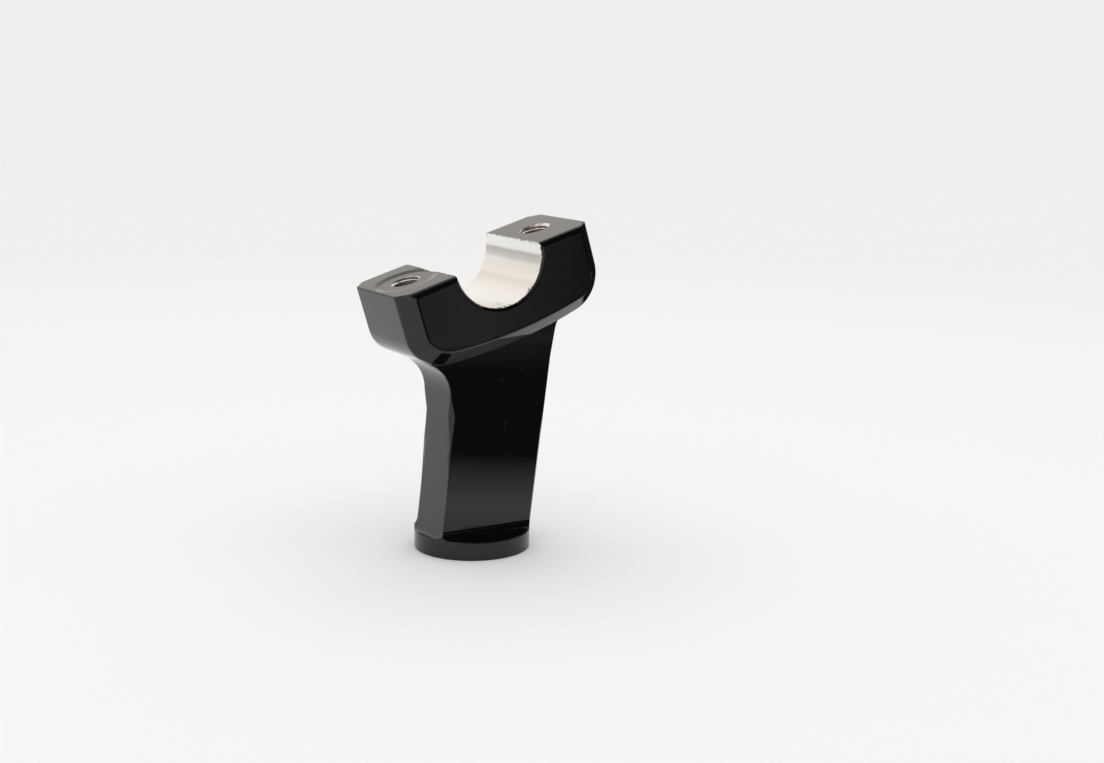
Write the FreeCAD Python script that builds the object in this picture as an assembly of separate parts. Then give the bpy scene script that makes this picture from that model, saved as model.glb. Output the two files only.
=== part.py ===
# A handlebar riser, machined from one piece of aluminium.
# A round foot stands on z = 0, a flat neck rises from it, and a wide head on the neck carries
# a tilted half-round saddle for the handlebar, with a tapped hole in each post beside it.
# Millimetres. x runs along the handlebar, +y points to the high post, and the origin is
# the middle of the foot's tapped hole, in the plane of the foot's underside.
import FreeCAD, Part
import os
from math import asin, cos, radians, sin, sqrt, tan

Vec = FreeCAD.Vector

# Saddle: the lower half of the clamp's bore
BAR_DIAMETER = 25.4         # one inch handlebar
SADDLE_Y = -0.35            # bore axis, from the middle of the foot
SADDLE_Z = 79.8             # bore axis above the foot's underside
SADDLE_TILT = 16.8          # degrees, how far the cap plane leans up towards +y
SADDLE_EDGE = 0.7           # bevel round each end of the bore

# Head: the two posts and the bridge below the bore
HEAD_WIDTH = 30.6           # along the bore
HEAD_LENGTH = 59.0          # across both posts, along the cap plane
HEAD_CHAMFER = 4.0          # wide bevel round both side faces
HIGH_END_SHARE = 0.625      # round under the high post's outer end, as a share of a post's length
LOW_END_SHARE = 0.447       # round under the low post's outer end, as a share of its underside's length
CAP_EDGE = 1.2              # bevel where the side faces meet the cap plane
BRIDGE_DEPTH = 23.6         # cap plane to the lowest point of the head's lower edge
BRIDGE_SWEEP = 140.0        # radius of that lower edge
LOW_POST_DEPTH = 16.0       # cap plane to the sharp outer corner under the low post
LOW_RISE = 25.0             # degrees, slope of the low underside as it runs out from the neck
HIGH_HOLLOW_SHARE = 0.9     # how much of the lower edge, from neck to high end round, its hollow takes

# Neck: a flat blade, upright on the low side and leaning on the high side
NECK_THICKNESS = 15.2
NECK_HIGH_Y = 13.43         # high edge, at the foot's underside
NECK_HIGH_LEAN = 7.5        # degrees
NECK_LOW_Y = -10.55         # low edge, where it is upright
NECK_FLARE_Z = 25.0         # below this height the low edge flares out to the foot
NECK_FLARE = 7.6            # degrees
NECK_UPRIGHT = 3.5          # upright length between that flare's blend and the low hollow
HIGH_EDGE_BREAK = 0.7       # bevel along both high edges
HIGH_BREAK_FADE = 7.0       # length over which that bevel fades out, below the head
LOW_EDGE_BREAK = 1.3        # widest point of the lens-shaped bevel on both low edges
LOW_BREAK_DROP = 5.4        # that point, below the start of the low hollow
LOW_BREAK_FADE = 12.0       # length over which it fades out, down the neck

# Foot
FOOT_DIAMETER = 31.4
FOOT_RIM = 5.0              # height of the round rim
FOOT_FILLET = 2.4           # hollow between rim and neck
FOOT_HOLLOW_REACH = 1.25    # the foot reaches this many fillets up the neck

# Tapped holes, at the drill's size
STUD_DRILL = 8.5            # M10 thread in the foot
STUD_DEPTH = 25.0
CAP_DRILL = 6.8             # M8 thread in each post
CAP_MOUTH = 8.5             # bevelled a little wider than the thread
CAP_DEPTH = 16.0
CAP_SPACING = 40.6
DRILL_POINT = 118.0         # degrees, cone at the bottom of each hole

# Cutters reach this far past the surface that they cut
OVERCUT = 20.0
BEVEL_CLEAR = 2.0           # the same for the bevels along the neck
# Surfaces closer than this count as one
FLAT = 0.01

TILT = radians(SADDLE_TILT)
ALONG_CAP = Vec(0, cos(TILT), sin(TILT))
OFF_CAP = Vec(0, -sin(TILT), cos(TILT))
SADDLE_CENTRE = Vec(0, SADDLE_Y, SADDLE_Z)
SWEEP_CENTRE = SADDLE_CENTRE + OFF_CAP * (BRIDGE_SWEEP - BRIDGE_DEPTH)
POST_LENGTH = (HEAD_LENGTH - BAR_DIAMETER) / 2
HIGH_END_ROUND = HIGH_END_SHARE * POST_LENGTH


def at_cap(along, off):
    """A point of the middle plane, measured from the bore axis along and off the cap plane."""
    return SADDLE_CENTRE + ALONG_CAP * along + OFF_CAP * off


def high_edge(z):
    """The neck's high edge at height z."""
    return Vec(0, NECK_HIGH_Y + z * tan(radians(NECK_HIGH_LEAN)), z)


def low_edge(z):
    """The straight flare of the neck's low edge at height z, before it is blended."""
    return Vec(0, NECK_LOW_Y - (NECK_FLARE_Z - z) * tan(radians(NECK_FLARE)), z)


def crossing(point, heading, other_point, other_heading):
    """Where two lines of the middle plane cross."""
    gap = other_point - point
    across = gap.y * other_heading.z - gap.z * other_heading.y
    return point + heading * (across / (heading.y * other_heading.z - heading.z * other_heading.y))


def turn_between(before, corner, after):
    """The angle by which an outline turns at a corner."""
    incoming = corner - before
    outgoing = after - corner
    return incoming.getAngle(outgoing)


def rounded_outline(corners):
    """A closed wire through (point, radius) corners, each one rounded by a tangent arc."""
    edges = []
    count = len(corners)
    starts = []
    ends = []
    for i, (corner, radius) in enumerate(corners):
        before = corners[i - 1][0]
        after = corners[(i + 1) % count][0]
        turn = turn_between(before, corner, after)
        reach = radius * tan(turn / 2)
        back = (before - corner).normalize()
        onward = (after - corner).normalize()
        starts.append(corner + back * reach)
        ends.append(corner + onward * reach)
        if radius > 0:
            inward = (back + onward).normalize()
            middle = corner + inward * (radius / cos(turn / 2) - radius)
            edges.append(Part.Arc(starts[i], middle, ends[i]).toShape())
    for i in range(count):
        if (starts[i] - ends[i - 1]).Length > FLAT:
            edges.append(Part.makeLine(ends[i - 1], starts[i]))
    return Part.Wire(Part.__sortEdges__(edges))


def blade(wire, width):
    """An outline of the middle plane made into a slab, half its width to each side."""
    slab = Part.Face(wire).extrude(Vec(width, 0, 0))
    slab.translate(Vec(-width / 2, 0, 0))
    return slab


def reach_of_sweep(start, heading):
    """How far a line runs from start until it leaves the circle of the swept lower edge."""
    offset = start - SWEEP_CENTRE
    middle = -offset.dot(heading)
    return middle + sqrt(middle ** 2 - offset.dot(offset) + BRIDGE_SWEEP ** 2)


def on_sweep(turn):
    """The point of the swept lower edge at an angle from its middle, and the edge's heading there."""
    point = SWEEP_CENTRE + (ALONG_CAP * sin(turn) - OFF_CAP * cos(turn)) * BRIDGE_SWEEP
    return point, ALONG_CAP * cos(turn) + OFF_CAP * sin(turn)


def high_run_out():
    """The angle at which the swept edge runs smoothly into the round under the high post."""
    return asin((HEAD_LENGTH / 2 - HIGH_END_ROUND) / (BRIDGE_SWEEP - HIGH_END_ROUND))


def low_underside():
    """The sharp outer corner under the low post, and the heading of its underside from there."""
    rise = radians(LOW_RISE)
    return at_cap(-HEAD_LENGTH / 2, -LOW_POST_DEPTH), Vec(0, cos(rise), -sin(rise))


def low_hollow():
    """The hollow under the low post: where it leaves the underside, its sharp corner, its start."""
    corner, heading = low_underside()
    seat = corner + heading * reach_of_sweep(corner, heading)
    sharp = crossing(corner, heading, Vec(0, NECK_LOW_Y, 0), Vec(0, 0, 1))
    return seat, sharp, sharp.z - (sharp - seat).Length


def high_hollow():
    """The hollow under the high post: where it leaves the swept edge, its sharp corner, its start."""
    inside = high_edge(SADDLE_Z)
    lean = (inside - high_edge(0)).normalize()
    neck_end = inside - lean * reach_of_sweep(inside, lean * -1)
    neck_turn = asin((neck_end - SWEEP_CENTRE).dot(ALONG_CAP) / BRIDGE_SWEEP)
    seat_turn = neck_turn + HIGH_HOLLOW_SHARE * (high_run_out() - neck_turn)
    seat, heading = on_sweep(seat_turn)
    sharp = crossing(inside, lean, seat, heading)
    return seat, sharp, sharp.z - (sharp - seat).Length * lean.z


def flare_sweep():
    """Radius of the long arc that blends the neck's flare into its upright low edge."""
    blend_top = low_hollow()[2] - NECK_UPRIGHT
    return (blend_top - NECK_FLARE_Z) / tan(radians(NECK_FLARE) / 2)


def swept_low_edge(z):
    """The low edge at height z, on the arc that blends the flare into the upright."""
    sweep = flare_sweep()
    drop = max(0, NECK_FLARE_Z + sweep * tan(radians(NECK_FLARE) / 2) - z)
    return Vec(0, NECK_LOW_Y - sweep + sqrt(sweep ** 2 - drop ** 2), z)


def head_outline(cap_level):
    """The head from the side, up to a level above the cap plane and below its swept lower edge."""
    half = HEAD_LENGTH / 2
    low_corner, low_heading = low_underside()
    low_reach = LOW_END_SHARE * reach_of_sweep(low_corner, low_heading)
    low_round = low_reach / tan(low_heading.getAngle(OFF_CAP * -1) / 2)
    run_out, high_heading = on_sweep(high_run_out())
    high_corner = crossing(run_out, high_heading, at_cap(half, 0), OFF_CAP)
    keel = crossing(low_corner, low_heading, run_out, high_heading)
    return rounded_outline([
        (low_corner, low_round),
        (at_cap(-half, cap_level), 0),
        (at_cap(half, cap_level), 0),
        (high_corner, HIGH_END_ROUND),
        (keel, 0),
    ])


def neck_outline():
    """The neck from the side, from the foot's rim up to its two hollows under the head."""
    waist = Vec(0, NECK_LOW_Y, NECK_FLARE_Z)
    high_foot = high_edge(FOOT_RIM)
    low_seat, low_corner = low_hollow()[:2]
    high_seat, high_corner = high_hollow()[:2]
    low_turn = turn_between(low_seat, low_corner, waist)
    high_turn = turn_between(high_seat, high_corner, high_foot)
    low_radius = (low_corner - low_seat).Length / tan(low_turn / 2)
    high_radius = (high_corner - high_seat).Length / tan(high_turn / 2)
    return rounded_outline([
        (low_edge(FOOT_RIM), 0),
        (waist, flare_sweep()),
        (low_corner, low_radius),
        (low_seat, 0),
        (high_seat, 0),
        (high_corner, high_radius),
        (high_foot, 0),
    ])


def edge_break(side, outward, stations):
    """A cutter that bevels one neck edge; stations are (edge point, bevel width) up the edge."""
    face = side * NECK_THICKNESS / 2
    clear = BEVEL_CLEAR
    rings = []
    for point, width in stations:
        past_edge = Vec(face - side * (width + clear), point.y + outward * clear, point.z)
        past_face = Vec(face + side * clear, point.y - outward * (width + clear), point.z)
        outside = Vec(face + side * clear, point.y + outward * clear, point.z)
        rings.append([past_edge, past_face, outside])
    faces = [rings[0], rings[-1]]
    for below, above in zip(rings, rings[1:]):
        for i in range(len(below)):
            faces.append([below[i - 1], below[i], above[i], above[i - 1]])
    flats = [Part.Face(Part.makePolygon(corners + corners[:1])) for corners in faces]
    return Part.Solid(Part.Shell(flats))


def make_neck():
    """The flat blade, with the bevels that soften its four long edges."""
    neck = blade(neck_outline(), NECK_THICKNESS)
    high_start = high_hollow()[2]
    low_start = low_hollow()[2]
    low_break = low_start - LOW_BREAK_DROP
    high_stations = [
        (high_edge(0), HIGH_EDGE_BREAK),
        (high_edge(high_start - HIGH_BREAK_FADE), HIGH_EDGE_BREAK),
        (high_edge(high_start), -FLAT),
    ]
    low_stations = [
        (swept_low_edge(low_break - LOW_BREAK_FADE), -FLAT),
        (swept_low_edge(low_break), LOW_EDGE_BREAK),
        (swept_low_edge(low_start), -FLAT),
    ]
    for side in (-1, 1):
        neck = neck.cut(edge_break(side, 1, high_stations))
        neck = neck.cut(edge_break(side, -1, low_stations))
    return neck


def make_head():
    """The wide head above its swept lower edge, bevelled right round both side faces."""
    # the slab stands so far above the cap plane that its top bevel is cut away later
    raised = 2 * HEAD_CHAMFER
    slab = blade(head_outline(raised), HEAD_WIDTH)
    sweep_start = SWEEP_CENTRE - Vec(HEAD_WIDTH, 0, 0)
    head = slab.common(Part.makeCylinder(BRIDGE_SWEEP, 2 * HEAD_WIDTH, sweep_start, Vec(1, 0, 0)))
    side_edges = []
    for edge in head.Edges:
        box = edge.BoundBox
        if abs(abs(box.Center.x) - HEAD_WIDTH / 2) < FLAT and box.XLength < FLAT:
            side_edges.append(edge)
    return head.makeChamfer(HEAD_CHAMFER, side_edges)


def make_foot():
    """The round foot, cut flush with the neck's high edge and filleted up to the neck."""
    radius = FOOT_DIAMETER / 2
    half_neck = NECK_THICKNESS / 2
    top = FOOT_RIM + FOOT_HOLLOW_REACH * FOOT_FILLET
    across = rounded_outline([
        (Vec(-radius, 0, 0), 0),
        (Vec(-radius, 0, FOOT_RIM), 0),
        (Vec(-half_neck, 0, FOOT_RIM), FOOT_FILLET),
        (Vec(-half_neck, 0, top), 0),
        (Vec(half_neck, 0, top), 0),
        (Vec(half_neck, 0, FOOT_RIM), FOOT_FILLET),
        (Vec(radius, 0, FOOT_RIM), 0),
        (Vec(radius, 0, 0), 0),
    ])
    along = rounded_outline([
        (Vec(0, -radius, 0), 0),
        (Vec(0, -radius, FOOT_RIM), 0),
        (low_edge(FOOT_RIM), FOOT_FILLET),
        (low_edge(top), 0),
        (high_edge(top), 0),
        (high_edge(0), 0),
    ])
    foot = Part.Face(across).extrude(Vec(0, 2 * radius, 0))
    foot.translate(Vec(0, -radius, 0))
    foot = foot.common(blade(along, FOOT_DIAMETER))
    return foot.common(Part.makeCylinder(radius, top))


def drilled(mouth, outward, drill, depth):
    """A blind hole, with the cone that the drill leaves at its bottom."""
    inward = outward * -1
    bottom = mouth + inward * depth
    cone = Part.makeCone(drill / 2, 0, drill / 2 / tan(radians(DRILL_POINT / 2)), bottom, inward)
    return Part.makeCylinder(drill / 2, depth, mouth, inward).fuse(cone)


def make_riser():
    """The whole riser: foot, neck and head as one solid, then its saddle and holes."""
    riser = make_head().fuse([make_neck(), make_foot()])
    half_width = HEAD_WIDTH / 2
    reach = HEAD_LENGTH / 2 + OVERCUT
    # everything above the cap plane
    cap_face = [at_cap(-reach, 0), at_cap(reach, 0), at_cap(reach, OVERCUT), at_cap(-reach, OVERCUT)]
    cutters = [blade(Part.makePolygon(cap_face + cap_face[:1]), HEAD_WIDTH + OVERCUT)]
    # the bore, and the bevel round each of its ends
    bore = BAR_DIAMETER / 2
    bore_start = Vec(-half_width - OVERCUT, SADDLE_Y, SADDLE_Z)
    cutters.append(Part.makeCylinder(bore, 2 * (half_width + OVERCUT), bore_start, Vec(1, 0, 0)))
    for side in (-1, 1):
        end = Vec(side * half_width, SADDLE_Y, SADDLE_Z)
        cutters.append(Part.makeCone(bore + SADDLE_EDGE, bore, SADDLE_EDGE, end, Vec(-side, 0, 0)))
        # the bevel along the top of this side face
        corner = at_cap(-reach, 0) + Vec(side * half_width, 0, 0)
        section = [
            corner - Vec(side * CAP_EDGE, 0, 0),
            corner - OFF_CAP * CAP_EDGE,
            corner + Vec(side * CAP_EDGE, 0, 0) + OFF_CAP * CAP_EDGE,
        ]
        prism = Part.Face(Part.makePolygon(section + section[:1]))
        cutters.append(prism.extrude(ALONG_CAP * (2 * reach)))
        # the tapped hole in this post, and its bevelled mouth
        mouth = at_cap(side * CAP_SPACING / 2, 0)
        bevel = (CAP_MOUTH - CAP_DRILL) / 2
        cutters.append(drilled(mouth, OFF_CAP, CAP_DRILL, CAP_DEPTH))
        cutters.append(Part.makeCone(CAP_MOUTH / 2, CAP_DRILL / 2, bevel, mouth, OFF_CAP * -1))
    cutters.append(drilled(Vec(0, 0, 0), Vec(0, 0, -1), STUD_DRILL, STUD_DEPTH))
    for cutter in cutters:
        riser = riser.cut(cutter)
    return riser.removeSplitter().Solids[0]


os.makedirs("parts", exist_ok=True)
riser_body = make_riser()
riser_body.exportStep("parts/riser_body.step")
box = riser_body.BoundBox
print("riser_body", riser_body.isValid(), "volume", round(riser_body.Volume), "mm3")
print("size", round(box.XLength, 2), round(box.YLength, 2), round(box.ZLength, 2))
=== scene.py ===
from math import cos, pi, radians, sin

import bpy
from mathutils import Matrix, Vector


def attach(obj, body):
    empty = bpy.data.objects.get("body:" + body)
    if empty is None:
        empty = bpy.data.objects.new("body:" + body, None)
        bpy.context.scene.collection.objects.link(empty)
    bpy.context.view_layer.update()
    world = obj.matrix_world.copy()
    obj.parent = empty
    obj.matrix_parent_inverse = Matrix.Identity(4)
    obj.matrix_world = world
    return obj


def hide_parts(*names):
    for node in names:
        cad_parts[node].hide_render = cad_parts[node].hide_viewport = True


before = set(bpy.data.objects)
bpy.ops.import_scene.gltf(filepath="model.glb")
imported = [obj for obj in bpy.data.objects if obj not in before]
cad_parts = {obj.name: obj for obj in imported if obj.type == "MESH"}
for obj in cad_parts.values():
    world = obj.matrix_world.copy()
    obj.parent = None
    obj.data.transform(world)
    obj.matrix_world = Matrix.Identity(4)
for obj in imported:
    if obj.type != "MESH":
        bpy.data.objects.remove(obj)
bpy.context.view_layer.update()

# Sizes of the riser as its solid has them, in millimetres and degrees
BORE_RADIUS = 12.7
BORE_Y = -0.35
BORE_Z = 79.8
BORE_EDGE = 0.7                             # narrow bevel round each end of the bore
CAP_TILT = 16.8
HEAD_HALF_WIDTH = 15.3
CAP_HOLE_ALONG = 20.3                       # from the bore's axis, along the cap plane
CAP_HOLE_MOUTH = 4.25
CAP_HOLE_DEPTH = 19.0                       # a little past the drill's cone
FOOT_HOLE = 4.25
FOOT_HOLE_DEPTH = 30.0                      # a little past the drill's cone
NECK_TOP = 45.0
NECK_HALF_WIDTH = 7.6
LOW_CORNER = (11.3, -16.255, 52.36)         # where the low underside's corner line meets the bevel
LOW_CORNER_END = (15.3, -15.621, 56.479)    # where it ends, on the side face

# Threads, as radius at crest and root, pitch and depth in millimetres
CAP_THREAD = {"crest": 3.4, "root": 4.0, "pitch": 1.25, "depth": 12.5}
FOOT_THREAD = {"crest": 4.25, "root": 5.0, "pitch": 1.5, "depth": 19.5}
THREAD_STEPS = 40                           # steps in one turn
GROOVE_MOUTH = 0.86                         # widths of the groove, as shares of the pitch
GROOVE_FLOOR = 0.14
GROOVE_OVERCUT = 0.1

# What the coat adds, in millimetres
HEAD_ROUND = 0.55
FINE_ROUND = 0.26
ROUND_STEPS = 4
LOW_CORNER_ROUND = 2.5
LOW_CORNER_STEPS = 6
DISH_RADIUS = 9.0
DISH_SHOULDER = 2.3
DISH_DEPTH = 0.42
DISH_STEPS = 6
DISH_SIDES = 96
DISH_OVERCUT = 2.0
SCUFF_PLACE = (9.5, 2.2, 67.4)

# How the solid's mesh is cleaned, in millimetres and degrees
SAME_POINT = 0.002
SAME_PLANE = 0.3
SHORT_EDGE = 0.15
SHORT_CORNER_EDGE = 0.35
SHORT_RUN_OUT_EDGE = 0.06
SHORT_CUT_EDGE = 0.004
TOE_SPLIT = 6.0
SHARP_ANGLE = 20.0
SMOOTH_ANGLE = 32.0

# Where edges are told apart, in millimetres
BORE_CLEAR = 0.6
FOOT_HOLE_CLEAR = 0.5
CAP_HOLE_CLEAR = 0.3
SADDLE_BEVEL_CLEAR = 0.1
SADDLE_BEVEL_WIDTH = 1.0
BORE_CORNER_OUT = 13.5
BORE_CORNER_DROP = 1.8
BORE_CORNER_REACH = 0.9
SIDE_FACE_SLACK = 0.02
RIM_SLACK = 0.06
CORNER_SLACK = 0.3
NECK_SIDE_ACROSS = (5.0, 8.2)
LOW_TOE_ACROSS = (6.5, 11.0)
LOW_TOE_REACH = 3.4
HIGH_TOE_ACROSS = (6.5, 8.5)
HIGH_TOE_ALONG = 13.0
HIGH_TOE_UP = 51.0
FOOT_END_ALONG = 12.5
FOOT_END_UP = (0.5, 8.0)
BEVEL_END_ACROSS = (6.9, 7.5)
BEVEL_END_ALONG = -10.4
BEVEL_END_UP = (26.0, 33.6)

# The photograph's camera, in millimetres
CAMERA_PLACE = (385.22, -212.14, 129.48)
CAMERA_FORWARD = (-0.83632, 0.51514, -0.18761)
CAMERA_DOWN = (0.16552, -0.08899, -0.98218)
FOCAL_LENGTH = 54.36
SENSOR_WIDTH = 36

# The studio, in metres and degrees
FLOOR_RADIUS = 6
ROOM_HEADING = (0.83, 0.49, 0.27)           # towards the dark room on the near side of the riser
NEAR_CARD_HEADING = 31.8
LIGHT_HEADING = (0.624, -0.242, -0.743)
LIGHT_STRENGTH = 0.25
LIGHT_SPREAD = 70

MM = 0.001
ORIGIN = Vector((0, 0, 0))
ACROSS = Vector((1, 0, 0))
UP = Vector((0, 0, 1))
TILT = radians(CAP_TILT)
BORE_CENTRE = Vector((0, BORE_Y, BORE_Z)) * MM
ALONG_CAP = Vector((0, cos(TILT), sin(TILT)))
OFF_CAP = Vector((0, -sin(TILT), cos(TILT)))


def at_cap(along):
    """A point of the cap plane, so many millimetres from the bore axis towards the high post."""
    return BORE_CENTRE + ALONG_CAP * along * MM


def only(piece):
    """Selects one object and nothing else, and makes it active."""
    bpy.ops.object.select_all(action="DESELECT")
    piece.select_set(True)
    bpy.context.view_layer.objects.active = piece


def added(name):
    """Names the primitive that was just added, and its mesh."""
    piece = bpy.context.active_object
    piece.name = name
    piece.data.name = name
    return piece


def apply_modifier(piece, kind, **settings):
    """Adds a modifier with these settings and applies it."""
    only(piece)
    modifier = piece.modifiers.new(kind.title(), kind)
    for setting, value in settings.items():
        setattr(modifier, setting, value)
    bpy.ops.object.modifier_apply(modifier=modifier.name)


def cut(piece, cutter):
    """Cuts one closed mesh out of another, and deletes the cutter."""
    apply_modifier(piece, "BOOLEAN", operation="DIFFERENCE", solver="EXACT", object=cutter)
    bpy.data.objects.remove(cutter)


def set_upright_on(piece, place, up):
    """Moves a piece made about the z axis to its place, with its z axis turned to up."""
    turn = UP.rotation_difference(up).to_matrix().to_4x4()
    piece.matrix_world = Matrix.Translation(place) @ turn
    only(piece)
    bpy.ops.object.transform_apply()


def thread_cutter(crest, root, pitch, depth):
    """The helical groove of a tapped hole, from above its mouth at z = 0 down to a depth."""
    inner = crest - GROOVE_OVERCUT
    middle = (root + inner) / 2 * MM
    bpy.ops.mesh.primitive_plane_add(size=MM, location=(0, 0, 0))
    cutter = added("thread_cutter")
    bpy.ops.object.mode_set(mode="EDIT")
    bpy.ops.transform.rotate(value=pi / 2, orient_axis="X", center_override=(0, 0, 0))
    bpy.ops.transform.resize(value=(root - inner, 1, GROOVE_MOUTH * pitch))
    bpy.ops.transform.translate(value=(middle, 0, -depth * MM))
    bpy.ops.object.mode_set(mode="OBJECT")
    # the outer side of the groove's outline is drawn in to its floor
    for vertex in cutter.data.vertices:
        vertex.select = vertex.co.x > middle
    for edge in cutter.data.edges:
        edge.select = all(cutter.data.vertices[i].select for i in edge.vertices)
    for face in cutter.data.polygons:
        face.select = False
    bpy.ops.object.mode_set(mode="EDIT")
    bpy.ops.transform.resize(value=(1, 1, GROOVE_FLOOR / GROOVE_MOUTH))
    bpy.ops.mesh.select_all(action="SELECT")
    bpy.ops.mesh.delete(type="ONLY_FACE")
    bpy.ops.object.mode_set(mode="OBJECT")
    turns = round(depth / pitch) + 1
    apply_modifier(cutter, "SCREW", axis="Z", angle=2 * pi, screw_offset=pitch * MM, iterations=turns,
                   steps=THREAD_STEPS, render_steps=THREAD_STEPS, use_merge_vertices=False)
    bpy.ops.object.mode_set(mode="EDIT")
    bpy.ops.mesh.select_all(action="SELECT")
    bpy.ops.mesh.fill_holes(sides=4)
    bpy.ops.mesh.select_all(action="SELECT")
    bpy.ops.mesh.normals_make_consistent(inside=False)
    bpy.ops.object.mode_set(mode="OBJECT")
    return cutter


def dish_cutter():
    """The shallow round dish that the coat leaves about the low post's hole."""
    floor_radius = DISH_RADIUS - DISH_SHOULDER
    bpy.ops.mesh.primitive_circle_add(vertices=DISH_SIDES, radius=floor_radius * MM, fill_type="NGON",
                                      location=(0, 0, -DISH_DEPTH * MM))
    cutter = added("dish_cutter")
    bpy.ops.object.transform_apply()
    bpy.ops.object.mode_set(mode="EDIT")
    bpy.ops.mesh.select_all(action="SELECT")
    radius = floor_radius
    rise = 0.0
    for step in range(1, DISH_STEPS + 1):
        share = step / DISH_STEPS
        next_radius = floor_radius + DISH_SHOULDER * share
        next_rise = DISH_DEPTH * (3 - 2 * share) * share ** 2
        lift = (0, 0, (next_rise - rise) * MM)
        bpy.ops.mesh.extrude_region_move(TRANSFORM_OT_translate={"value": lift})
        bpy.ops.transform.resize(value=(next_radius / radius, next_radius / radius, 1))
        radius = next_radius
        rise = next_rise
    bpy.ops.mesh.extrude_region_move(TRANSFORM_OT_translate={"value": (0, 0, DISH_OVERCUT * MM)})
    bpy.ops.mesh.select_all(action="SELECT")
    bpy.ops.mesh.normals_make_consistent(inside=False)
    bpy.ops.object.mode_set(mode="OBJECT")
    return cutter


def merge_near(piece, threshold, wanted):
    """Merges the vertices that lie closer together than a threshold, where that is wanted."""
    only(piece)
    bpy.ops.object.mode_set(mode="EDIT")
    bpy.ops.mesh.select_mode(type="VERT")
    bpy.ops.mesh.select_all(action="DESELECT")
    bpy.ops.object.mode_set(mode="OBJECT")
    for vertex in piece.data.vertices:
        vertex.select = wanted(vertex.co)
    bpy.ops.object.mode_set(mode="EDIT")
    bpy.ops.mesh.remove_doubles(threshold=threshold * MM)
    bpy.ops.object.mode_set(mode="OBJECT")


def split_across(piece, place):
    """Splits the faces that cross a plane of constant x, so many millimetres out on either side."""
    only(piece)
    bpy.ops.object.mode_set(mode="EDIT")
    for side in (-place, place):
        bpy.ops.mesh.select_all(action="SELECT")
        bpy.ops.mesh.bisect(plane_co=(side * MM, 0, 0), plane_no=ACROSS)
    bpy.ops.object.mode_set(mode="OBJECT")


def round_edges(piece, offset, wanted, steps=ROUND_STEPS):
    """Rounds the sharp edges whose middle lies where it is wanted."""
    mesh = piece.data
    only(piece)
    bpy.ops.object.mode_set(mode="EDIT")
    bpy.ops.mesh.select_mode(type="EDGE")
    bpy.ops.mesh.select_all(action="DESELECT")
    bpy.ops.mesh.edges_select_sharp(sharpness=radians(SHARP_ANGLE))
    bpy.ops.object.mode_set(mode="OBJECT")
    chosen = []
    for edge in mesh.edges:
        middle = (mesh.vertices[edge.vertices[0]].co + mesh.vertices[edge.vertices[1]].co) / 2
        chosen.append(edge.select and wanted(middle))
    bpy.ops.object.mode_set(mode="EDIT")
    bpy.ops.mesh.select_all(action="DESELECT")
    bpy.ops.object.mode_set(mode="OBJECT")
    mesh.edges.foreach_set("select", chosen)
    bpy.ops.object.mode_set(mode="EDIT")
    bpy.ops.mesh.bevel(offset=offset * MM, segments=steps, affect="EDGES", clamp_overlap=False)
    bpy.ops.object.mode_set(mode="OBJECT")


def between(value, limits):
    """Whether a length in metres lies between two limits in millimetres."""
    return limits[0] < value / MM < limits[1]


def distance_from_line(point, start, direction):
    """How far a point lies from a line, in millimetres."""
    offset = point - start
    return (offset - direction * offset.dot(direction)).length / MM


def from_bore_axis(point):
    """How far a point lies from the bore's axis, in millimetres."""
    return distance_from_line(point, BORE_CENTRE, ACROSS)


def anywhere(point):
    """Every point of the riser is wanted."""
    return True


def by_machined_hole(point):
    """Whether a point lies at the bore or at the mouth of a tapped hole, where edges stay crisp."""
    near_bore = from_bore_axis(point) < BORE_RADIUS + BORE_CLEAR
    near_foot_hole = distance_from_line(point, ORIGIN, UP) < FOOT_HOLE + FOOT_HOLE_CLEAR
    near_cap_hole = any(distance_from_line(point, at_cap(along), OFF_CAP) < CAP_HOLE_MOUTH + CAP_HOLE_CLEAR
                        for along in (-CAP_HOLE_ALONG, CAP_HOLE_ALONG))
    return near_bore or near_cap_hole or (near_foot_hole and point.z < NECK_TOP * MM)


def by_bore_corner(point):
    """Whether a point lies where the bevels of the bore and of the cap plane run together."""
    at_side = abs(point.x) > BORE_CORNER_OUT * MM
    near_cap = (BORE_CENTRE - point).dot(OFF_CAP) / MM < BORE_CORNER_DROP
    return at_side and near_cap and from_bore_axis(point) < BORE_RADIUS + BORE_CORNER_REACH


def on_saddle_rim(point):
    """Whether a point lies on the outer edge of the narrow bevel round an end of the bore."""
    on_side_face = abs(abs(point.x) - HEAD_HALF_WIDTH * MM) < SIDE_FACE_SLACK * MM
    return on_side_face and abs(from_bore_axis(point) - BORE_RADIUS - BORE_EDGE) < RIM_SLACK


def on_low_corner(point):
    """Whether a point lies on the line where the low underside turns into the swept lower edge."""
    mirrored = Vector((abs(point.x), point.y, point.z))
    corner = Vector(LOW_CORNER) * MM
    along_bevel = (Vector(LOW_CORNER_END) - Vector(LOW_CORNER)).normalized()
    if mirrored.x > corner.x:
        return distance_from_line(mirrored, corner, along_bevel) < CORNER_SLACK
    past_neck = mirrored.x > NECK_HALF_WIDTH * MM
    return past_neck and distance_from_line(mirrored, corner, ACROSS) < CORNER_SLACK


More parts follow.
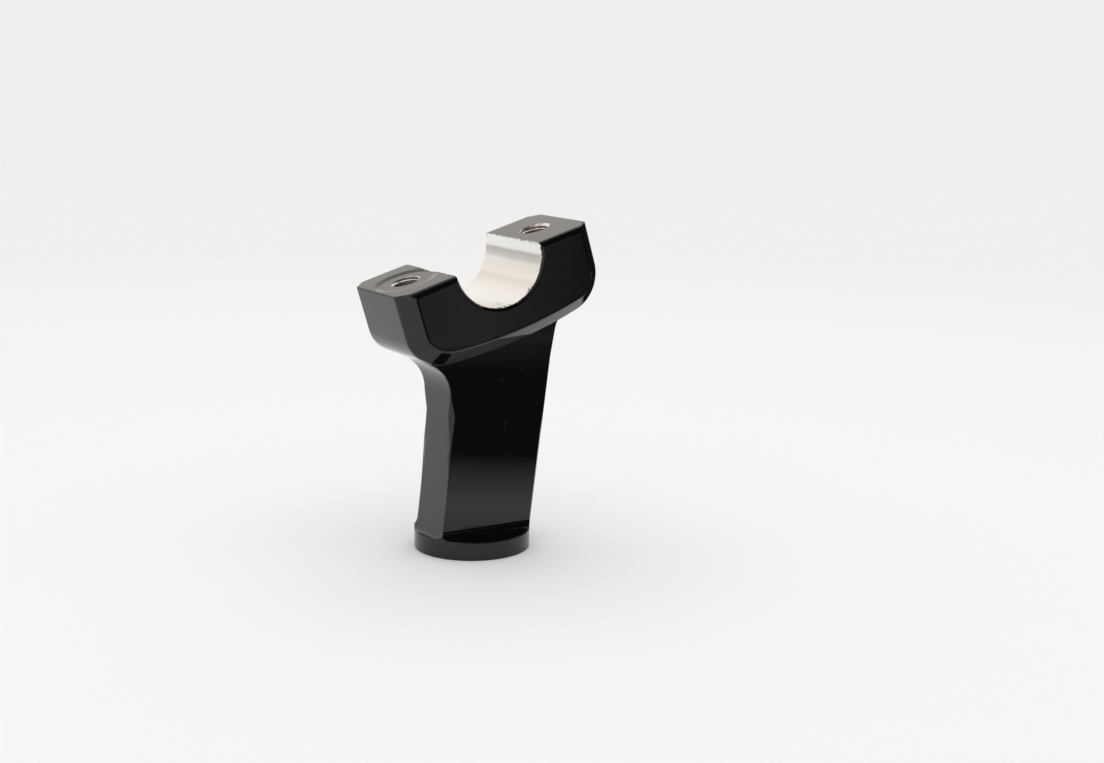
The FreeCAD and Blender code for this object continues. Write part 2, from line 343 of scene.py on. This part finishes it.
def by_run_out(point):
    """Whether a point lies where one form runs out on another at a slant, so that edges stay crisp."""
    out = abs(point.x)
    from_corner = distance_from_line(point, Vector(LOW_CORNER) * MM, ACROSS)
    low_toe = between(out, LOW_TOE_ACROSS) and from_corner < LOW_TOE_REACH
    past_neck = point.y > HIGH_TOE_ALONG * MM and point.z > HIGH_TOE_UP * MM
    high_toe = between(out, HIGH_TOE_ACROSS) and past_neck
    foot_end = abs(point.y) > FOOT_END_ALONG * MM and between(point.z, FOOT_END_UP)
    by_low_edge = point.y < BEVEL_END_ALONG * MM and between(point.z, BEVEL_END_UP)
    bevel_end = between(out, BEVEL_END_ACROSS) and by_low_edge
    return low_toe or high_toe or foot_end or bevel_end


def on_neck_side(point):
    """Whether a point lies as far out as the neck's long edges."""
    return between(abs(point.x), NECK_SIDE_ACROSS)


def on_head(point):
    """Whether a point lies on a coated edge of the head, apart from the bore's bevels."""
    at_bore = from_bore_axis(point) < BORE_RADIUS + BORE_EDGE + SADDLE_BEVEL_CLEAR
    if at_bore and abs(point.x) > (HEAD_HALF_WIDTH - SADDLE_BEVEL_WIDTH) * MM:
        return False
    if by_run_out(point) or by_machined_hole(point):
        return False
    return point.z > NECK_TOP * MM and not on_neck_side(point)


def on_neck_or_foot(point):
    """Whether a point lies on a coated edge of the neck or of the foot."""
    if by_run_out(point) or by_machined_hole(point):
        return False
    return point.z <= NECK_TOP * MM or on_neck_side(point)


def coated_riser():
    """The riser's solid with coat-rounded edges, cut threads and the dish in its low post."""
    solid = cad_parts["riser_body"]
    riser = bpy.data.objects.new("riser_coated", solid.data.copy())
    bpy.context.scene.collection.objects.link(riser)
    riser.data.name = "riser_coated"
    only(riser)
    bpy.ops.mesh.customdata_custom_splitnormals_clear()
    bpy.ops.object.mode_set(mode="EDIT")
    bpy.ops.mesh.select_all(action="SELECT")
    bpy.ops.mesh.remove_doubles(threshold=SAME_POINT * MM)
    bpy.ops.mesh.dissolve_limited(angle_limit=radians(SAME_PLANE))
    bpy.ops.object.mode_set(mode="OBJECT")
    merge_near(riser, SHORT_EDGE, anywhere)
    merge_near(riser, SHORT_CORNER_EDGE, by_bore_corner)
    round_edges(riser, LOW_CORNER_ROUND, on_low_corner, LOW_CORNER_STEPS)
    split_across(riser, TOE_SPLIT)
    round_edges(riser, HEAD_ROUND, on_head)
    round_edges(riser, FINE_ROUND, on_saddle_rim)
    round_edges(riser, FINE_ROUND, on_neck_or_foot)
    merge_near(riser, SHORT_RUN_OUT_EDGE, by_run_out)
    dish = dish_cutter()
    set_upright_on(dish, at_cap(-CAP_HOLE_ALONG), OFF_CAP)
    cut(riser, dish)
    for along in (-CAP_HOLE_ALONG, CAP_HOLE_ALONG):
        thread = thread_cutter(**CAP_THREAD)
        set_upright_on(thread, at_cap(along), OFF_CAP)
        cut(riser, thread)
    thread = thread_cutter(**FOOT_THREAD)
    set_upright_on(thread, ORIGIN, -UP)
    cut(riser, thread)
    merge_near(riser, SHORT_CUT_EDGE, anywhere)
    return riser


def in_cap_hole(point):
    """Whether a point lies inside the tapped hole of a post, below its mouth."""
    hole_reach = CAP_HOLE_MOUTH + 0.05
    mouth_slack = 0.03
    for along in (-CAP_HOLE_ALONG, CAP_HOLE_ALONG):
        depth = (at_cap(along) - point).dot(OFF_CAP) / MM
        mouth = DISH_DEPTH if along < 0 else 0
        if mouth + mouth_slack < depth < CAP_HOLE_DEPTH:
            if distance_from_line(point, at_cap(along), OFF_CAP) < hole_reach:
                return True
    return False


def in_foot_hole(point):
    """Whether a point lies within the tapped hole of the foot, its mouth included."""
    hole_reach = FOOT_THREAD["root"] + 0.1
    return distance_from_line(point, ORIGIN, UP) < hole_reach and point.z < FOOT_HOLE_DEPTH * MM


def finish_faces(riser, coat, bore, foot, tapped):
    """Gives each face its material by where it lies, then smooths the shading."""
    bore_slack = 0.12
    foot_slack = 0.02
    mouth_depth = 1.0
    most_across = 0.3
    facing_down = -0.9
    riser.data.materials.clear()
    for material in (coat, bore, foot, tapped):
        riser.data.materials.append(material)
    for face in riser.data.polygons:
        centre = face.center
        downward = face.normal.z < facing_down
        face.material_index = 0
        if abs(from_bore_axis(centre) - BORE_RADIUS) < bore_slack and abs(face.normal.x) < most_across:
            face.material_index = 1
        if centre.z < foot_slack * MM and downward:
            face.material_index = 2
        if in_foot_hole(centre) and (not downward or centre.z > mouth_depth * MM):
            face.material_index = 3
        if in_cap_hole(centre):
            face.material_index = 3
    only(riser)
    bpy.ops.object.shade_smooth_by_angle(angle=radians(SMOOTH_ANGLE))
    apply_modifier(riser, "WEIGHTED_NORMAL", mode="FACE_AREA", weight=50, keep_sharp=True)


def linear(hex_colour):
    """An sRGB hex colour as the linear values that a socket takes."""
    channels = []
    for i in (1, 3, 5):
        value = int(hex_colour[i:i + 2], 16) / 255
        channels.append(value / 12.92 if value <= 0.04045 else ((value + 0.055) / 1.055) ** 2.4)
    return (*channels, 1.0)


def add(tree, kind, inputs=None, output=0, **settings):
    """Adds a node with its settings, its inputs each a value or a socket, and gives one output."""
    node = tree.nodes.new("ShaderNode" + kind)
    for setting, value in settings.items():
        setattr(node, setting, value)
    for name, value in (inputs or {}).items():
        if isinstance(value, bpy.types.NodeSocket):
            tree.links.new(value, node.inputs[name])
        else:
            node.inputs[name].default_value = value
    return node.outputs[output] if node.outputs else None


def new_material(name):
    """An empty material, with its node tree and the socket of the piece's own coordinates."""
    material = bpy.data.materials.new(name)
    material.use_nodes = True
    tree = material.node_tree
    tree.nodes.clear()
    return material, tree, add(tree, "TexCoord", output="Object")


def black_coat():
    # Gloss black powder coat over machined aluminium: near black and mirror clear, faintly rippled,
    # with a few specks of dust, and nicked down to bright metal along the edge of the bore
    material, tree, place = new_material("gloss_black_powder_coat")
    offset = add(tree, "VectorMath", {0: place, 1: BORE_CENTRE}, operation="SUBTRACT")
    flat = add(tree, "VectorMath", {0: offset, 1: (0, 1, 1)}, operation="MULTIPLY")
    radius = add(tree, "VectorMath", {0: flat}, "Value", operation="LENGTH")
    # nicks about 0.9 mm long that reach up to 0.5 mm from the bore
    ragged = add(tree, "TexNoise", {"Vector": place, "Scale": 1 / (0.9 * MM), "Detail": 3.0})
    reach = add(tree, "MapRange", {0: ragged, 1: 0.54, 2: 0.78, 3: 0.03 * MM, 4: 0.5 * MM})
    past_bore = add(tree, "Math", {0: radius, 1: BORE_RADIUS * MM}, operation="SUBTRACT")
    nicked = add(tree, "Math", {0: past_bore, 1: reach}, operation="LESS_THAN")
    # dust settles as grains less than 0.2 mm across, some 3.4 mm apart
    grains = add(tree, "TexVoronoi", {"Vector": place, "Scale": 1 / (3.4 * MM)}, "Distance")
    dusty = add(tree, "Math", {0: grains, 1: 0.026}, operation="LESS_THAN")
    # broad clouds of 14 mm in the black
    clouds = add(tree, "TexNoise", {"Vector": place, "Scale": 1 / (14 * MM), "Detail": 2.0})
    tone = add(tree, "Mix", {0: clouds, 6: linear("#08080a"), 7: linear("#0c0c0f")}, 2, data_type="RGBA")
    tone = add(tree, "Mix", {0: dusty, 6: tone, 7: linear("#8d8b89")}, 2, data_type="RGBA")
    tone = add(tree, "Mix", {0: nicked, 6: tone, 7: linear("#e6e3df")}, 2, data_type="RGBA")
    # finger smears of about 8 mm
    smears = add(tree, "TexNoise", {"Vector": place, "Scale": 1 / (8 * MM), "Detail": 3.0})
    smeared = add(tree, "MapRange", {0: smears, 1: 0.35, 2: 0.7, 3: 0.04, 4: 0.09})
    dull_dust = add(tree, "Math", {0: dusty, 1: 0.7}, operation="MULTIPLY")
    dull_nick = add(tree, "Math", {0: nicked, 1: 0.3}, operation="MULTIPLY")
    rough = add(tree, "Math", {0: smeared, 1: dull_dust}, operation="MAXIMUM")
    rough = add(tree, "Math", {0: rough, 1: dull_nick}, operation="MAXIMUM")
    # the coat's ripple, 2.6 mm from crest to crest
    ripple = add(tree, "TexNoise", {"Vector": place, "Scale": 1 / (2.6 * MM), "Detail": 1.0})
    bump = add(tree, "Bump", {"Height": ripple, "Strength": 0.06, "Distance": 0.02 * MM})
    shader = add(tree, "BsdfPrincipled", {"Base Color": tone, "Metallic": nicked, "Roughness": rough,
                                          "Normal": bump, "IOR": 1.5})
    add(tree, "OutputMaterial", {"Surface": shader})
    return material


def bare_bore():
    # Aluminium bored to size after coating: bright, with fine tool lines round the bore, painted
    # reflection as grey and warm bands along it, a scuff at the bottom, and flecks of black coat left at
    # its edges
    material, tree, place = new_material("bored_aluminium")
    offset = add(tree, "VectorMath", {0: place, 1: BORE_CENTRE}, operation="SUBTRACT")
    along = add(tree, "VectorMath", {0: offset, 1: ALONG_CAP}, "Value", operation="DOT_PRODUCT")
    below = add(tree, "VectorMath", {0: offset, 1: -OFF_CAP}, "Value", operation="DOT_PRODUCT")
    # the way round the bore, from 0 at the high post to 1 at the low one
    turn = add(tree, "Math", {0: below, 1: along}, operation="ARCTAN2")
    share = add(tree, "Math", {0: turn, 1: pi}, operation="DIVIDE")
    # the painted reflection bands waver in stretches of about 9 mm
    waver = add(tree, "TexNoise", {"Vector": place, "Scale": 1 / (9 * MM), "Detail": 2.0})
    waver = add(tree, "MapRange", {0: waver, 1: 0.0, 2: 1.0, 3: -0.006, 4: 0.006})
    share = add(tree, "Math", {0: share, 1: waver}, operation="ADD")
    # painted reflection: grey and warm bands of the surroundings, set in the colour by the way round the
    # bore
    painted_reflection_bands = add(tree, "ValToRGB", {"Fac": share})
    stops = painted_reflection_bands.node.color_ramp.elements
    stops[0].color = linear("#f5f5f5")
    stops[1].color = linear("#eeedee")
    for position, colour in ((0.07, "#f4f3f1"), (0.09, "#c3bebc"), (0.13, "#d1cdcc"), (0.16, "#f0efeb"),
                             (0.25, "#eeebe7"), (0.28, "#e3ddd8"), (0.34, "#efece9"), (0.45, "#f6f6f6")):
        stops.new(position).color = linear(colour)
    # tool lines about 0.15 mm apart, each some 9 mm long
    lined = add(tree, "VectorMath", {0: place, 1: (1 / (0.15 * MM), 1 / (9 * MM), 1 / (9 * MM))},
                operation="MULTIPLY")
    lines = add(tree, "TexNoise", {"Vector": lined, "Scale": 1.0, "Detail": 2.0})
    # a scuff of about 2 mm, broken into strokes of 0.7 mm
    scuff_gap = add(tree, "VectorMath", {0: place, 1: Vector(SCUFF_PLACE) * MM}, "Value",
                    operation="DISTANCE")
    near_scuff = add(tree, "MapRange", {0: scuff_gap, 1: 0.5 * MM, 2: 2.2 * MM, 3: 1.0, 4: 0.0})
    strokes = add(tree, "TexNoise", {"Vector": place, "Scale": 1 / (0.7 * MM), "Detail": 3.0})
    strokes = add(tree, "Math", {0: strokes, 1: 0.56}, operation="GREATER_THAN")
    scuffed = add(tree, "Math", {0: near_scuff, 1: strokes}, operation="MULTIPLY")
    # flecks of coat 0.7 mm wide that reach up to 3 mm in from the near end, low in the bore
    across = add(tree, "SeparateXYZ", {0: place}, "X")
    from_end = add(tree, "Math", {0: (HEAD_HALF_WIDTH - BORE_EDGE) * MM, 1: across}, operation="SUBTRACT")
    drawn = add(tree, "VectorMath", {0: place, 1: (1 / (4 * MM), 1 / (0.7 * MM), 1 / (0.7 * MM))},
                operation="MULTIPLY")
    flecks = add(tree, "TexNoise", {"Vector": drawn, "Scale": 1.0, "Detail": 2.0})
    from_bottom = add(tree, "Math", {0: share, 1: 0.52}, operation="SUBTRACT")
    from_bottom = add(tree, "Math", {0: from_bottom}, operation="ABSOLUTE")
    longest = add(tree, "MapRange", {0: from_bottom, 1: 0.17, 2: 0.24, 3: 3 * MM, 4: 0.3 * MM})
    fleck_share = add(tree, "MapRange", {0: flecks, 1: 0.57, 2: 0.74, 3: 0.0, 4: 1.0})
    fleck_reach = add(tree, "Math", {0: fleck_share, 1: longest}, operation="MULTIPLY")
    at_end = add(tree, "Math", {0: from_end, 1: fleck_reach}, operation="LESS_THAN")
    # chips of coat 0.6 mm wide that reach up to 0.5 mm below the cap plane
    chips = add(tree, "TexNoise", {"Vector": place, "Scale": 1 / (0.6 * MM), "Detail": 2.0})
    chip_reach = add(tree, "MapRange", {0: chips, 1: 0.52, 2: 0.75, 3: 0.0, 4: 0.5 * MM})
    at_cap_edge = add(tree, "Math", {0: below, 1: chip_reach}, operation="LESS_THAN")
    flecked = add(tree, "Math", {0: at_end, 1: at_cap_edge}, operation="MAXIMUM")
    tone = add(tree, "Mix", {0: scuffed, 6: painted_reflection_bands, 7: linear("#a79e97")}, 2, data_type="RGBA")
    tone = add(tree, "Mix", {0: flecked, 6: tone, 7: linear("#121214")}, 2, data_type="RGBA")
    metal = add(tree, "Math", {0: 1.0, 1: flecked}, operation="SUBTRACT")
    rough = add(tree, "MapRange", {0: lines, 1: 0.3, 2: 0.7, 3: 0.28, 4: 0.42})
    bump = add(tree, "Bump", {"Height": lines, "Strength": 0.2, "Distance": 0.01 * MM})
    shader = add(tree, "BsdfPrincipled", {"Base Color": tone, "Metallic": metal, "Roughness": rough,
                                          "Normal": bump})
    add(tree, "OutputMaterial", {"Surface": shader})
    return material


def bare_foot():
    # Aluminium faced off flat under the foot: pale and dull, with fine rings about the hole
    material, tree, place = new_material("faced_aluminium")
    flat = add(tree, "VectorMath", {0: place, 1: (1, 1, 0)}, operation="MULTIPLY")
    radius = add(tree, "VectorMath", {0: flat}, "Value", operation="LENGTH")
    # rings about 0.3 mm apart
    rings = add(tree, "TexNoise", {"W": radius, "Scale": 1 / (0.3 * MM), "Detail": 2.0},
                noise_dimensions="1D")
    tone = add(tree, "Mix", {0: rings, 6: linear("#c2bfbb"), 7: linear("#e2dfdb")}, 2, data_type="RGBA")
    # dull patches of about 5 mm
    patches = add(tree, "TexNoise", {"Vector": place, "Scale": 1 / (5 * MM), "Detail": 2.0})
    rough = add(tree, "MapRange", {0: patches, 1: 0.3, 2: 0.7, 3: 0.36, 4: 0.5})
    bump = add(tree, "Bump", {"Height": rings, "Strength": 0.3, "Distance": 0.01 * MM})
    shader = add(tree, "BsdfPrincipled", {"Base Color": tone, "Metallic": 1.0, "Roughness": rough,
                                          "Normal": bump})
    add(tree, "OutputMaterial", {"Surface": shader})
    return material


def bare_thread():
    # Aluminium cut by a tap after coating: bright, with brownish traces of cutting oil
    material, tree, place = new_material("tapped_aluminium")
    # oil in patches of about 1.6 mm
    patches = add(tree, "TexNoise", {"Vector": place, "Scale": 1 / (1.6 * MM), "Detail": 3.0})
    oily = add(tree, "MapRange", {0: patches, 1: 0.5, 2: 0.72, 3: 0.0, 4: 1.0})
    tone = add(tree, "Mix", {0: oily, 6: linear("#e8e5e1"), 7: linear("#9a8b78")}, 2, data_type="RGBA")
    rough = add(tree, "MapRange", {0: oily, 1: 0.0, 2: 1.0, 3: 0.26, 4: 0.4})
    shader = add(tree, "BsdfPrincipled", {"Base Color": tone, "Metallic": 1.0, "Roughness": rough})
    add(tree, "OutputMaterial", {"Surface": shader})
    return material


def floor_paper():
    # Seamless paper: off-white, with painted shade that greys it further out, fading into the backdrop
    # behind
    material, tree, place = new_material("floor_paper")
    gap = add(tree, "VectorMath", {0: place}, "Value", operation="LENGTH")
    far = add(tree, "MapRange", {0: gap, 1: 0.4, 2: 2.6, 3: 0.0, 4: 1.0}, interpolation_type="SMOOTHSTEP")
    # painted shade: the paper is greyer further out, where less light reaches it
    painted_shade_far = add(tree, "MapRange", {0: gap, 1: 0.1, 2: 0.7, 3: 0.0, 4: 1.0})
    tone = add(tree, "Mix", {0: painted_shade_far, 6: linear("#f6f5f4"), 7: linear("#eeedeb")}, 2, data_type="RGBA")
    paper = add(tree, "BsdfDiffuse", {"Color": tone})
    clear = add(tree, "BsdfTransparent")
    add(tree, "OutputMaterial", {"Surface": add(tree, "MixShader", {0: far, 1: paper, 2: clear})})
    return material


def grey(level):
    """A grey of one linear level."""
    return (level, level, level, 1.0)


def painted_reflection_card(name, half_width, fade, levels):
    # A card that glows as painted reflection: a little light comes from it, by places across its width
    material, tree, place = new_material("reflection_card_glow_" + name)
    along = add(tree, "SeparateXYZ", {0: place}, "X")
    across = along.node.outputs["Y"]
    share = add(tree, "MapRange", {0: across, 1: -half_width, 2: half_width, 3: 0.0, 4: 1.0})
    glow = add(tree, "ValToRGB", {"Fac": share})
    stops = glow.node.color_ramp.elements
    stops[0].color = grey(levels[0][1])
    stops[1].color = grey(levels[-1][1])
    for position, level in levels[1:-1]:
        stops.new(position).color = grey(level)
    # the edge towards the riser fades out, so that no hard line is reflected
    solid = add(tree, "MapRange", {0: along, 1: 0.0, 2: fade, 3: 0.0, 4: 1.0})
    clear = add(tree, "BsdfTransparent")
    # the card's glow is the painted reflection that the coat shows
    painted_glow = add(tree, "Emission", {"Color": glow})
    add(tree, "OutputMaterial", {"Surface": add(tree, "MixShader", {0: solid, 1: clear, 2: painted_glow})})
    return material


def place_card(name, place, rise, heading, length, half_width, fade, levels):
    """A card that only reflections see. It runs from its faded edge at a place, rising on a heading."""
    bpy.ops.mesh.primitive_plane_add(size=1, location=(0, 0, 0))
    card = added(name)
    bpy.ops.object.mode_set(mode="EDIT")
    bpy.ops.transform.resize(value=(length, 2 * half_width, 1))
    bpy.ops.transform.translate(value=(length / 2, 0, 0))
    bpy.ops.object.mode_set(mode="OBJECT")
    card.location = place
    card.rotation_euler = (0, radians(-rise), radians(heading))
    card.data.materials.append(painted_reflection_card(name, half_width, fade, levels))
    card.visible_camera = False
    card.visible_diffuse = False
    card.visible_shadow = False


def reflection_only_cards():
    """The glowing cards that paint dark reflections and bright bands into the coat."""
    # levels of the painted reflection that each card glows with, from one side of a card to the other
    dark = ((0.0, 0.015), (1.0, 0.015))
    dim = ((0.0, 0.2), (1.0, 0.2))
    # the banded levels glow as painted highlight bands in the coat
    painted_highlight_bands = ((0.0, 0.02), (0.2, 0.02), (0.3, 0.27), (0.42, 0.33), (0.62, 0.05), (1.0, 0.03))
    # before the near face one card lies on the floor and one rises beyond it, as painted dark reflection
    # with painted highlight bands
    place_card("near_floor_card", place=(0.044, 0.027, 0.0015), rise=0, heading=NEAR_CARD_HEADING,
               length=0.3, half_width=0.17, fade=0.06, levels=dark)
    place_card("near_rising_card", place=(0.0723, 0.0448, 0.0347), rise=27, heading=NEAR_CARD_HEADING,
               length=0.26, half_width=0.11, fade=0.022, levels=painted_highlight_bands)
    # beyond the high post one card lies on the floor and one stands, both painted dark reflections
    place_card("far_floor_card", place=(-0.05, 0.11, 0.0015), rise=0, heading=123.5,
               length=0.2, half_width=0.12, fade=0.03, levels=dark)
    place_card("far_standing_card", place=(-0.09, 0.25, -0.02), rise=90, heading=90,
               length=0.22, half_width=0.12, fade=0.02, levels=dark)
    # off the low post one stands clear of the floor, a painted dim reflection that darkens the edge of its
    # top
    place_card("low_standing_card", place=(-0.209, -0.158, 0.07), rise=90, heading=207.6,
               length=0.1, half_width=0.015, fade=0.02, levels=dim)


def surround():
    """The pale surround, which reflections see as white with a dark room on the near side."""
    world = bpy.data.worlds.new("studio")
    bpy.context.scene.world = world
    world.use_nodes = True
    tree = world.node_tree
    tree.nodes.clear()
    by_eye = add(tree, "LightPath", output="Is Camera Ray")
    by_gloss = by_eye.node.outputs["Is Glossy Ray"]
    heading = add(tree, "TexCoord", output="Generated")
    towards_room = add(tree, "VectorMath", {0: heading, 1: ROOM_HEADING}, "Value", operation="DOT_PRODUCT")
    darkness = add(tree, "MapRange", {0: towards_room, 1: 0.1, 2: 0.55, 3: 0.0, 4: 1.0})
    mirrored = add(tree, "Mix", {0: darkness, 6: linear("#fffaf3"), 7: linear("#000000")}, 2,
                   data_type="RGBA")
    tone = add(tree, "Mix", {0: by_gloss, 6: linear("#fbfbfb"), 7: mirrored}, 2, data_type="RGBA")
    tone = add(tree, "Mix", {0: by_eye, 6: tone, 7: linear("#f0efed")}, 2, data_type="RGBA")
    add(tree, "OutputWorld", {"Surface": add(tree, "Background", {"Color": tone, "Strength": 1.0})})


def studio():
    """A pale floor and surround, glowing cards that paint the coat's reflections, and a wide soft light.
    """
    bpy.ops.mesh.primitive_circle_add(vertices=128, radius=FLOOR_RADIUS, fill_type="NGON",
                                      location=(0, 0, 0))
    floor = added("floor")
    floor.data.materials.append(floor_paper())
    reflection_only_cards()
    surround()
    sun = bpy.data.lights.new("softbox", "SUN")
    sun.energy = LIGHT_STRENGTH
    sun.angle = radians(LIGHT_SPREAD)
    lamp = bpy.data.objects.new("softbox", sun)
    bpy.context.scene.collection.objects.link(lamp)
    lamp.rotation_euler = Vector(LIGHT_HEADING).to_track_quat("-Z", "Y").to_euler()
    lamp.visible_glossy = False


def camera():
    """The photograph's view: from the low post's side, a little above the saddle."""
    forward = Vector(CAMERA_FORWARD)
    down = Vector(CAMERA_DOWN)
    right = down.cross(forward)
    lens = bpy.data.cameras.new("camera")
    lens.lens = FOCAL_LENGTH
    lens.sensor_width = SENSOR_WIDTH
    lens.sensor_fit = "HORIZONTAL"
    lens.clip_start = 0.01
    view = bpy.data.objects.new("camera", lens)
    bpy.context.scene.collection.objects.link(view)
    turn = Matrix((right, -down, -forward)).transposed().to_4x4()
    view.matrix_world = Matrix.Translation(Vector(CAMERA_PLACE) * MM) @ turn
    bpy.context.scene.camera = view


riser = coated_riser()
finish_faces(riser, black_coat(), bare_bore(), bare_foot(), bare_thread())
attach(riser, "root")
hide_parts("riser_body")
studio()
camera()
bpy.context.scene.view_settings.view_transform = "Standard"
